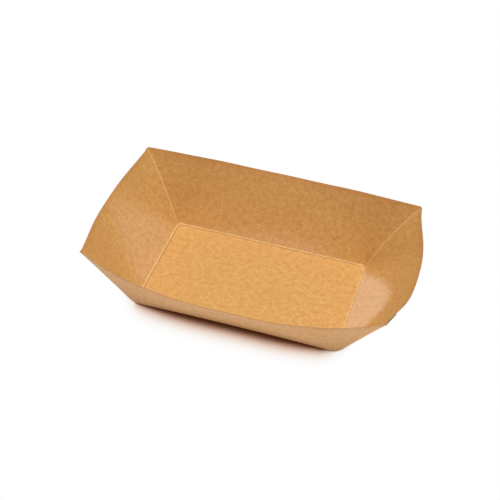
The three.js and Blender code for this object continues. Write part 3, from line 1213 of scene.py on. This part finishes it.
@dataclass(frozen=True)
class KraftFinish:
    """Uncoated brown kraft board: mottled, fibrous, a little shiny when seen flat on.

    Attributes:
        painted_highlight_foot: Colour of the painted highlight on a panel's foot, and how much of it
            covers the fibres.
        score_shade: Colour of the painted shade line beside a crease.
        fold: Colour of stretched board at a crease or a fold, also used as the painted highlight
            along scores and folded corners.
        rim: Colour that the board takes on towards the cut.
        roughness_spread: Range of roughness that the grain brings.
        far_face: Distance in the noise between the patterns of the two faces.
        fleck_cells: Cells for each millimetre that may hold a fleck.
        fleck_edge: Distances from a cell's middle where a fleck starts and is full.
        fleck_rarity: Share of the cells that stay empty.
        strand_relief: How high the strands stand beside the grain.
    """

    inside: Colour = colour(211, 161, 94)
    # The outside is paler than the inside: partly the board's own other face, partly painted sheen.
    outside: Colour = colour(210, 163, 112)
    # Painted highlight: a paler, pinker colour standing in for light and sheen on the feet.
    painted_highlight_foot: Tint = Tint(colour(230, 188, 146), 0.45)
    fleck: Tint = Tint(colour(112, 72, 40), 0.8)
    fold: Tint = Tint(colour(238, 203, 148), 0.85)
    # Painted shade: the dark line beside each crease.
    score_shade: Tint = Tint(colour(150, 98, 48), 0.7)
    rim: Tint = Tint(colour(194, 124, 66), 0.4)
    mottle: FibrePattern = FibrePattern(0.3, 3.0, 0.6, (0.4, 0.7), Tint(colour(192, 136, 70), 0.7))
    cloud: FibrePattern = FibrePattern(
        0.045, 2.0, 0.5, (0.45, 0.75), Tint(colour(192, 136, 70), 0.15)
    )
    strands: FibrePattern = FibrePattern(
        1.25, 3.0, 0.6, (0.52, 0.7), Tint(colour(229, 184, 122), 0.45), (0.22, 1.3)
    )
    threads: FibrePattern = FibrePattern(
        0.9, 3.0, 0.6, (0.54, 0.72), Tint(colour(168, 116, 60), 0.32), (1.1, 0.3)
    )
    grain: FibrePattern = FibrePattern(
        0.7, 4.0, 0.75, (0.48, 0.68), Tint(colour(168, 116, 60), 0.45)
    )
    roughness: float = 0.62
    roughness_spread: float = 0.16
    refraction: float = 1.45
    shine: float = 0.25
    sheen: float = 0.04
    sheen_roughness: float = 0.35
    bump: float = 0.35
    bump_height: float = 0.05 * MM
    strand_relief: float = 0.8
    far_face: float = 37.0
    fleck_cells: float = 0.14
    fleck_edge: tuple[float, float] = (0.055, 0.03)
    fleck_rarity: float = 0.7

    def build(self, span: float) -> bpy.types.Material:
        """Build the material of the board's two faces.

        Args:
            span: Real width of the blank map.

        Returns:
            The material.
        """
        material, tree, shader = new_material("kraft_face")
        patterns = (self.mottle, self.cloud, self.strands, self.threads, self.grain)
        noises = [self.noise(tree, pattern, span) for pattern in patterns]
        # Painted highlight on the feet of the panels.
        highlight_share = tree.mark(Mark.PAINTED_HIGHLIGHT)
        tone = tree.blend(tree.mark(Mark.OUTSIDE), self.inside, self.outside)
        tone = tree.blend(highlight_share, tone, self.painted_highlight_foot.tone)
        layers = [(tree.ramp(n, *p.limits), p.tint) for n, p in zip(noises, patterns)]
        layers += [
            (self.flecks(tree, span), self.fleck),
            (highlight_share, self.painted_highlight_foot),
            # Paler stretched board, with painted highlight on ridges and seams.
            (tree.mark(Mark.FOLD_AND_HIGHLIGHT), self.fold),
            # Painted shade beside each crease.
            (tree.mark(Mark.PAINTED_SCORE_SHADE), self.score_shade),
            (tree.mark(Mark.RIM), self.rim),
        ]
        for share, tint in layers:
            tone = tree.blend(tree.maths("MULTIPLY", share, tint.amount), tone, tint.tone)
        strands, _, grain = noises[2:]
        smoothest = self.roughness - self.roughness_spread / 2
        relief = tree.maths("MULTIPLY_ADD", strands, self.strand_relief, grain)
        bump = tree.add(
            "ShaderNodeBump", Strength=self.bump, Distance=self.bump_height, Height=relief
        )
        for name, value in (
            ("Base Color", tone),
            ("Roughness", tree.maths("MULTIPLY_ADD", grain, self.roughness_spread, smoothest)),
            ("IOR", self.refraction),
            ("Specular IOR Level", self.shine),
            ("Sheen Weight", self.sheen),
            ("Sheen Roughness", self.sheen_roughness),
            ("Normal", bump.outputs["Normal"]),
        ):
            tree.feed(shader.inputs[name], value)
        return material

    def on_sheet(self, tree: Nodes, span: float, stretch: tuple[float, float]) -> Socket:
        """Give places on the blank in millimetres, with the two faces set far apart.

        Args:
            tree: The material's nodes.
            span: Real width of the blank map.
            stretch: Factors along the blank and across it.

        Returns:
            The places.
        """
        blank = tree.add("ShaderNodeUVMap", uv_map="blank").outputs["UV"]
        scale = (span / MM * stretch[0], span / MM * stretch[1], 1.0)
        mapping = tree.add("ShaderNodeMapping", Vector=blank, Scale=scale)
        split = tree.add("ShaderNodeSeparateXYZ", Vector=mapping.outputs["Vector"]).outputs
        depth = tree.maths("MULTIPLY", tree.mark(Mark.OUTSIDE), self.far_face)
        return tree.add("ShaderNodeCombineXYZ", X=split["X"], Y=split["Y"], Z=depth).outputs[0]

    def noise(self, tree: Nodes, pattern: FibrePattern, span: float) -> Socket:
        """Add the noise of a pattern and give its value.

        Args:
            tree: The material's nodes.
            pattern: The pattern.
            span: Real width of the blank map.

        Returns:
            The noise's value.
        """
        node = tree.add(
            "ShaderNodeTexNoise",
            Vector=self.on_sheet(tree, span, pattern.stretch),
            Scale=pattern.scale,
            Detail=pattern.detail,
            Roughness=pattern.rough,
        )
        return node.outputs["Fac"]

    def flecks(self, tree: Nodes, span: float) -> Socket:
        """Scatter small bark flecks, of which only a few cells hold one.

        Args:
            tree: The material's nodes.
            span: Real width of the blank map.

        Returns:
            One on a fleck and nought beside it.
        """
        sheet = self.on_sheet(tree, span, (1.0, 1.0))
        cells = tree.add("ShaderNodeTexVoronoi", Vector=sheet, Scale=self.fleck_cells)
        spot = tree.ramp(cells.outputs["Distance"], *self.fleck_edge)
        split = tree.add("ShaderNodeSeparateColor", Color=cells.outputs["Color"])
        chosen = tree.maths("GREATER_THAN", split.outputs[0], self.fleck_rarity)
        return tree.maths("MULTIPLY", spot, chosen)


@dataclass(frozen=True)
class SpeckledFinish:
    """A matt finish of two finely speckled tones.

    Attributes:
        name: The material's name.
        tones: The two colours.
        cells: Speckles for each metre.
        rough: How strong the finer layers of the noise are.
        limits: Values of the noise between which the second colour comes in.
        roughness: How matt the finish is.
        detail: How many finer layers the noise has.
    """

    name: str
    tones: tuple[Colour, Colour]
    cells: float
    rough: float
    limits: tuple[float, float]
    roughness: float
    detail: float = 3.0

    def build(self) -> bpy.types.Material:
        """Build the material.

        Returns:
            The material.
        """
        material, tree, shader = new_material(self.name)
        speckle = tree.add(
            "ShaderNodeTexNoise",
            Vector=tree.add("ShaderNodeTexCoord").outputs["Object"],
            Scale=self.cells,
            Detail=self.detail,
            Roughness=self.rough,
        )
        tone = tree.blend(tree.ramp(speckle.outputs["Fac"], *self.limits), *self.tones)
        tree.feed(shader.inputs["Base Color"], tone)
        tree.feed(shader.inputs["Roughness"], self.roughness)
        return material


CUT_EDGE = SpeckledFinish(
    name="kraft_cut_edge",
    tones=(colour(182, 144, 104), colour(146, 112, 78)),
    cells=1400.0,
    rough=0.65,
    limits=(0.35, 0.7),
    roughness=0.9,
)
SCORE_BEAD = SpeckledFinish(
    name="kraft_score_bead",
    tones=(colour(236, 200, 148), colour(208, 160, 102)),
    cells=420.0,
    rough=0.6,
    limits=(0.38, 0.66),
    roughness=0.55,
)


@dataclass
class ScoreBeads:
    """The raised bead along the inside of each crease, made along the crease's path.

    Attributes:
        setback: How far short of the base's corners a bead stops.
        path_points: Points along each path before it is divided evenly.
        step: Distance between the rings of a bead.
        wobble: How far a bead strays from its path.
        wobble_scale: Turns of that straying for each metre.
        taper_rate: How fast a bead gets its full size, for each length of it.
        end_size: Share of its full size that a bead starts with.
    """

    sheet: FoldedSheet
    radius: float = 0.19 * MM
    setback: float = 2.2 * MM
    path_points: int = 60
    step: float = 0.6 * MM
    wobble: float = 0.05 * MM
    wobble_scale: float = 260.0
    sides: int = 8
    seed: float = 4.0
    taper_rate: float = 25.0
    end_size: float = 0.2

    def paths(self) -> bpy.types.Object:
        """Draw the four creases as one curve object.

        Returns:
            The curve object.
        """
        curve = bpy.data.curves.new("crease_paths", "CURVE")
        curve.dimensions = "3D"
        for panel in self.sheet.panels:
            x = np.linspace(self.setback, panel.crease_length - self.setback, self.path_points)
            place = panel.corners[0] + x[:, None] * panel.along
            place = place + self.sheet.rounding(panel, x, np.zeros(x.shape))
            place = self.sheet.faults.move(place, self.sheet.corners)
            spline = curve.splines.new("POLY")
            spline.points.add(len(place) - 1)
            spline.points.foreach_set("co", np.hstack([place, np.ones((len(place), 1))]).ravel())
        paths = bpy.data.objects.new("crease_paths", curve)
        bpy.context.scene.collection.objects.link(paths)
        return paths

    def sizes(self) -> dict[str, float | int]:
        """Give the tree's inputs by their names.

        Returns:
            The value of each input.
        """
        return {
            "Radius": self.radius,
            "Step": self.step,
            "Wobble": self.wobble,
            "Wobble Scale": self.wobble_scale,
            "Seed": self.seed,
            "Sides": self.sides,
        }

    def tree(self, material: bpy.types.Material) -> bpy.types.NodeTree:
        """Build the node tree that sweeps a bead along each path.

        Args:
            material: The beads' material.

        Returns:
            The tree, with the bead's sizes as named inputs.
        """
        group = bpy.data.node_groups.new("score_bead", "GeometryNodeTree")
        for way in ("INPUT", "OUTPUT"):
            group.interface.new_socket("Geometry", in_out=way, socket_type="NodeSocketGeometry")
        for name, size in self.sizes().items():
            kind = "NodeSocketInt" if isinstance(size, int) else "NodeSocketFloat"
            group.interface.new_socket(name, in_out="INPUT", socket_type=kind)
        nodes = Nodes(group)
        given = nodes.add("NodeGroupInput").outputs
        spaced = nodes.add(
            "GeometryNodeResampleCurve", mode="LENGTH", Curve=given["Geometry"], Length=given["Step"]
        )
        noise = nodes.add("ShaderNodeTexNoise", noise_dimensions="4D", Detail=1.0)
        nodes.feed(noise.inputs["Scale"], given["Wobble Scale"])
        nodes.feed(noise.inputs["W"], given["Seed"])
        centred = nodes.add("ShaderNodeVectorMath", operation="SUBTRACT")
        nodes.feed(centred.inputs[0], noise.outputs["Color"])
        nodes.feed(centred.inputs[1], (0.5, 0.5, 0.5))
        stray = nodes.add("ShaderNodeVectorMath", operation="SCALE", Scale=given["Wobble"])
        nodes.feed(stray.inputs[0], centred.outputs[0])
        shifted = nodes.add("GeometryNodeSetPosition", Geometry=spaced.outputs["Curve"])
        nodes.feed(shifted.inputs["Offset"], stray.outputs[0])
        along = nodes.add("GeometryNodeSplineParameter").outputs["Factor"]
        to_end = nodes.maths("MINIMUM", along, nodes.maths("SUBTRACT", 1.0, along))
        taper = nodes.maths("MINIMUM", nodes.maths("MULTIPLY", to_end, self.taper_rate), 1.0)
        size = nodes.maths("MULTIPLY_ADD", taper, 1.0 - self.end_size, self.end_size)
        sized = nodes.add("GeometryNodeSetCurveRadius", Radius=size)
        nodes.feed(sized.inputs["Curve"], shifted.outputs["Geometry"])
        ring = nodes.add("GeometryNodeCurvePrimitiveCircle", Resolution=given["Sides"])
        nodes.feed(ring.inputs["Radius"], given["Radius"])
        swept = nodes.add("GeometryNodeCurveToMesh", Curve=sized.outputs["Curve"], Fill_Caps=True)
        nodes.feed(swept.inputs["Profile Curve"], ring.outputs["Curve"])
        nodes.feed(swept.inputs["Scale"], nodes.add("GeometryNodeInputRadius").outputs[0])
        smooth = nodes.add("GeometryNodeSetShadeSmooth", Geometry=swept.outputs["Mesh"])
        whole = nodes.add("GeometryNodeRealizeInstances", Geometry=smooth.outputs["Geometry"])
        coated = nodes.add("GeometryNodeSetMaterial", Material=material)
        nodes.feed(coated.inputs["Geometry"], whole.outputs["Geometry"])
        nodes.add("NodeGroupOutput", Geometry=coated.outputs["Geometry"])
        return group

    def build(self, material: bpy.types.Material) -> bpy.types.Object:
        """Build the beads as one plain mesh.

        Args:
            material: The beads' material.

        Returns:
            The object that holds all four beads.
        """
        paths = self.paths()
        modifier = paths.modifiers.new("score_bead", "NODES")
        modifier.node_group = self.tree(material)
        sizes = self.sizes()
        for item in modifier.node_group.interface.items_tree:
            if item.in_out == "INPUT" and item.name in sizes:
                modifier[item.identifier] = sizes[item.name]
        bpy.context.view_layer.update()
        depsgraph = bpy.context.evaluated_depsgraph_get()
        mesh = bpy.data.meshes.new_from_object(paths.evaluated_get(depsgraph), depsgraph=depsgraph)
        mesh.name = "score_beads"
        paths.modifiers.remove(modifier)
        bpy.data.objects.remove(paths)
        beads = bpy.data.objects.new("score_beads", mesh)
        bpy.context.scene.collection.objects.link(beads)
        return beads


@dataclass(frozen=True)
class PhotoCamera:
    """The camera that sees the tray as the photograph does.

    Attributes:
        distance: Distance along its view from the middle of the base's inside face.
        aim_right: How far the camera is shifted to its right.
        aim_up: How far it is shifted up.
        focal_pixels: Focal length in pixels of the photograph.
        sensor: Width of the film in millimetres.
        clip: Nearest and furthest distance that it sees.
    """

    azimuth_deg: float = 13.892
    elevation_deg: float = 39.801
    roll_deg: float = 4.052
    distance: float = 708.5 * MM
    aim_right: float = -1.64 * MM
    aim_up: float = 19.94 * MM
    focal_pixels: float = 1194.94
    sensor: float = 36.0
    clip: tuple[float, float] = (10 * MM, 50.0)

    def build(self, target_height: float) -> bpy.types.Object:
        """Place the camera.

        Args:
            target_height: Height of the base's inside face.

        Returns:
            The camera object.
        """
        a, e = math.radians(self.azimuth_deg), math.radians(self.elevation_deg)
        roll = math.radians(self.roll_deg)
        back = Vector((math.sin(a) * math.cos(e), -math.cos(a) * math.cos(e), math.sin(e)))
        level = Vector((math.cos(a), math.sin(a), 0.0))
        raised = back.cross(level)
        right = math.cos(roll) * level + math.sin(roll) * raised
        up = math.cos(roll) * raised - math.sin(roll) * level
        place = back * self.distance + right * self.aim_right + up * self.aim_up
        place.z += target_height
        data = bpy.data.cameras.new("photo_camera")
        data.sensor_width = self.sensor
        data.lens = self.sensor * self.focal_pixels / PHOTO_PIXELS
        data.clip_start, data.clip_end = self.clip
        camera = bpy.data.objects.new("photo_camera", data)
        turn = Matrix((right, up, back)).transposed().to_4x4()
        camera.matrix_world = Matrix.Translation(place) @ turn
        bpy.context.scene.collection.objects.link(camera)
        bpy.context.scene.camera = camera
        return camera


@dataclass(frozen=True)
class SoftBox:
    """One square studio light, turned towards the middle of the tray's base."""

    name: str
    place: tuple[float, float, float]
    size: float
    power: float

    def build(self) -> bpy.types.Object:
        """Place the light and turn it.

        Returns:
            The light.
        """
        data = bpy.data.lights.new(self.name, "AREA")
        data.shape = "SQUARE"
        data.size = self.size
        data.energy = self.power
        light = bpy.data.objects.new(self.name, data)
        light.location = self.place
        light.rotation_euler = (-Vector(self.place)).to_track_quat("-Z", "Y").to_euler()
        bpy.context.scene.collection.objects.link(light)
        return light


@dataclass(frozen=True)
class Studio:
    """White floor, white surroundings and soft light from above.

    Attributes:
        floor_size: Width of the floor.
        floor_drop: Gap between the tray and the floor.
        floor_tone: How much of the light the floor throws back on to the tray.
        floor_glow: Light that the floor adds to that.
        shade_reach: How far off the tray still shades the floor.
        shade_samples: Rays that tell how much of the sky the tray hides.
        shade: Colours of the floor from fully shaded to open, before and behind the tray.
        end_shade: The same beside the tray's two ends.
        end_from: Distances from the middle over which the one gives way to the other.
        shade_middle: Where along the tray that middle is.
        surround: Strength of the light that comes from the surroundings.
        top_light: The light above the tray.
    """

    floor_size: float = 12.0
    floor_drop: float = 0.02 * MM
    floor_tone: float = 0.86
    floor_glow: float = 0.42
    shade_reach: float = 27 * MM
    shade_samples: int = 64
    shade: Stops = (
        (0.0, colour(50, 20, 4)),
        (0.2, colour(60, 26, 8)),
        (0.235, colour(92, 54, 34)),
        (0.262, colour(156, 114, 92)),
        (0.295, colour(200, 164, 144)),
        (0.335, colour(228, 204, 190)),
        (0.39, colour(243, 230, 222)),
        (0.46, colour(251, 247, 244)),
        (0.57, colour(255, 255, 255)),
    )
    end_shade: Stops = (
        (0.0, colour(66, 32, 14)),
        (0.17, colour(92, 56, 36)),
        (0.21, colour(186, 158, 142)),
        (0.245, colour(242, 234, 229)),
        (0.32, colour(255, 255, 255)),
    )
    end_from: tuple[float, float] = (55 * MM, 70 * MM)
    shade_middle: float = -3 * MM
    surround: float = 0.15
    top_light: SoftBox = SoftBox("top_light", (0.12, 0.0, 1.5), 1.0, 25.0)

    def floor_material(self) -> bpy.types.Material:
        """Build the floor's finish, which the camera sees as white outside the shadow.

        Returns:
            The material.
        """
        material, tree, shader = new_material("white_floor")
        material.node_tree.nodes.remove(shader)
        matt = tree.add("ShaderNodeBsdfDiffuse", Color=(self.floor_tone,) * 3 + (1.0,))
        glow = tree.add("ShaderNodeEmission", Strength=self.floor_glow)
        thrown = tree.add("ShaderNodeAddShader")
        tree.feed(thrown.inputs[0], matt.outputs[0])
        tree.feed(thrown.inputs[1], glow.outputs[0])
        shown = tree.add("ShaderNodeEmission", Color=self.floor_shade(tree))
        chosen = tree.add("ShaderNodeMixShader")
        for target, source in zip(
            chosen.inputs, (self.seen(tree), thrown.outputs[0], shown.outputs[0])
        ):
            tree.feed(target, source)
        end = material.node_tree.nodes["Material Output"]
        tree.feed(end.inputs["Surface"], chosen.outputs[0])
        return material

    def floor_shade(self, tree: Nodes) -> Socket:
        """Give the floor's colour from how much of the sky the tray hides there.

        Args:
            tree: The floor's nodes.

        Returns:
            The colour.
        """
        hidden = tree.add("ShaderNodeAmbientOcclusion", samples=self.shade_samples)
        tree.feed(hidden.inputs["Distance"], self.shade_reach)
        place = tree.add("ShaderNodeTexCoord").outputs["Object"]
        across = tree.add("ShaderNodeSeparateXYZ", Vector=place).outputs["X"]
        off_middle = tree.maths("ABSOLUTE", tree.maths("SUBTRACT", across, self.shade_middle))
        beside = tree.ramp(off_middle, *self.end_from)
        tones = [tree.colours(hidden.outputs["AO"], stops) for stops in (self.shade, self.end_shade)]
        return tree.blend(beside, *tones)

    def seen(self, tree: Nodes) -> Socket:
        """Tell whether a ray is the camera's own, a reflection or seen through.

        Args:
            tree: The nodes to add to.

        Returns:
            One for such a ray and nought for any other.
        """
        path = tree.add("ShaderNodeLightPath").outputs
        mirrored = tree.maths("MAXIMUM", path["Is Camera Ray"], path["Is Glossy Ray"])
        return tree.maths("MAXIMUM", mirrored, path["Is Transmission Ray"])

    def build_floor(self) -> bpy.types.Object:
        """Lay the floor just below the tray.

        Returns:
            The floor.
        """
        half = self.floor_size / 2
        mesh = bpy.data.meshes.new("floor")
        corners = [(-half, -half), (half, -half), (half, half), (-half, half)]
        mesh.from_pydata([(x, y, -self.floor_drop) for x, y in corners], [], [(0, 1, 2, 3)])
        mesh.materials.append(self.floor_material())
        floor = bpy.data.objects.new("floor", mesh)
        bpy.context.scene.collection.objects.link(floor)
        return floor

    def build_surround(self) -> None:
        """Make the surroundings white to look at and an even light on the tray."""
        world = bpy.data.worlds.new("white_surround")
        world.use_nodes = True
        bpy.context.scene.world = world
        tree = Nodes(world.node_tree)
        background = world.node_tree.nodes["Background"]
        tree.feed(background.inputs["Color"], (1.0, 1.0, 1.0, 1.0))
        seen = self.seen(tree)
        strength = tree.maths("MULTIPLY_ADD", seen, 1.0 - self.surround, self.surround)
        tree.feed(background.inputs["Strength"], strength)

    def build(self) -> None:
        """Build the floor, the surroundings and the light."""
        self.build_floor()
        self.build_surround()
        self.top_light.build()
        bpy.context.scene.view_settings.view_transform = "Standard"


@dataclass
class PaperFoodTray:
    """The whole tray: the folded board and its score beads."""

    sheet: FoldedSheet = field(default_factory=FoldedSheet)
    kraft: KraftFinish = field(default_factory=KraftFinish)
    cut_edge: SpeckledFinish = CUT_EDGE
    bead: SpeckledFinish = SCORE_BEAD

    def build(self) -> list[bpy.types.Object]:
        """Build and dress every piece and hang it on the frame.

        Returns:
            The finished pieces.
        """
        board = self.sheet.build()
        board.data.materials.append(self.kraft.build(self.sheet.blank_span))
        board.data.materials.append(self.cut_edge.build())
        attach(board, "root")
        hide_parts("folded_tray")
        beads = ScoreBeads(self.sheet).build(self.bead.build())
        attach(beads, "root")
        return [board, beads]


def main() -> None:
    """Build the tray, the camera and the studio, in that order."""
    logging.basicConfig(level=logging.INFO, format="%(name)s: %(message)s")
    tray = PaperFoodTray()
    for piece in tray.build():
        mesh = piece.data
        LOG.info("%s: %d vertices, %d faces", piece.name, len(mesh.vertices), len(mesh.polygons))
    PhotoCamera().build(tray.sheet.board.thickness)
    Studio().build()


if __name__ == "__main__":
    main()
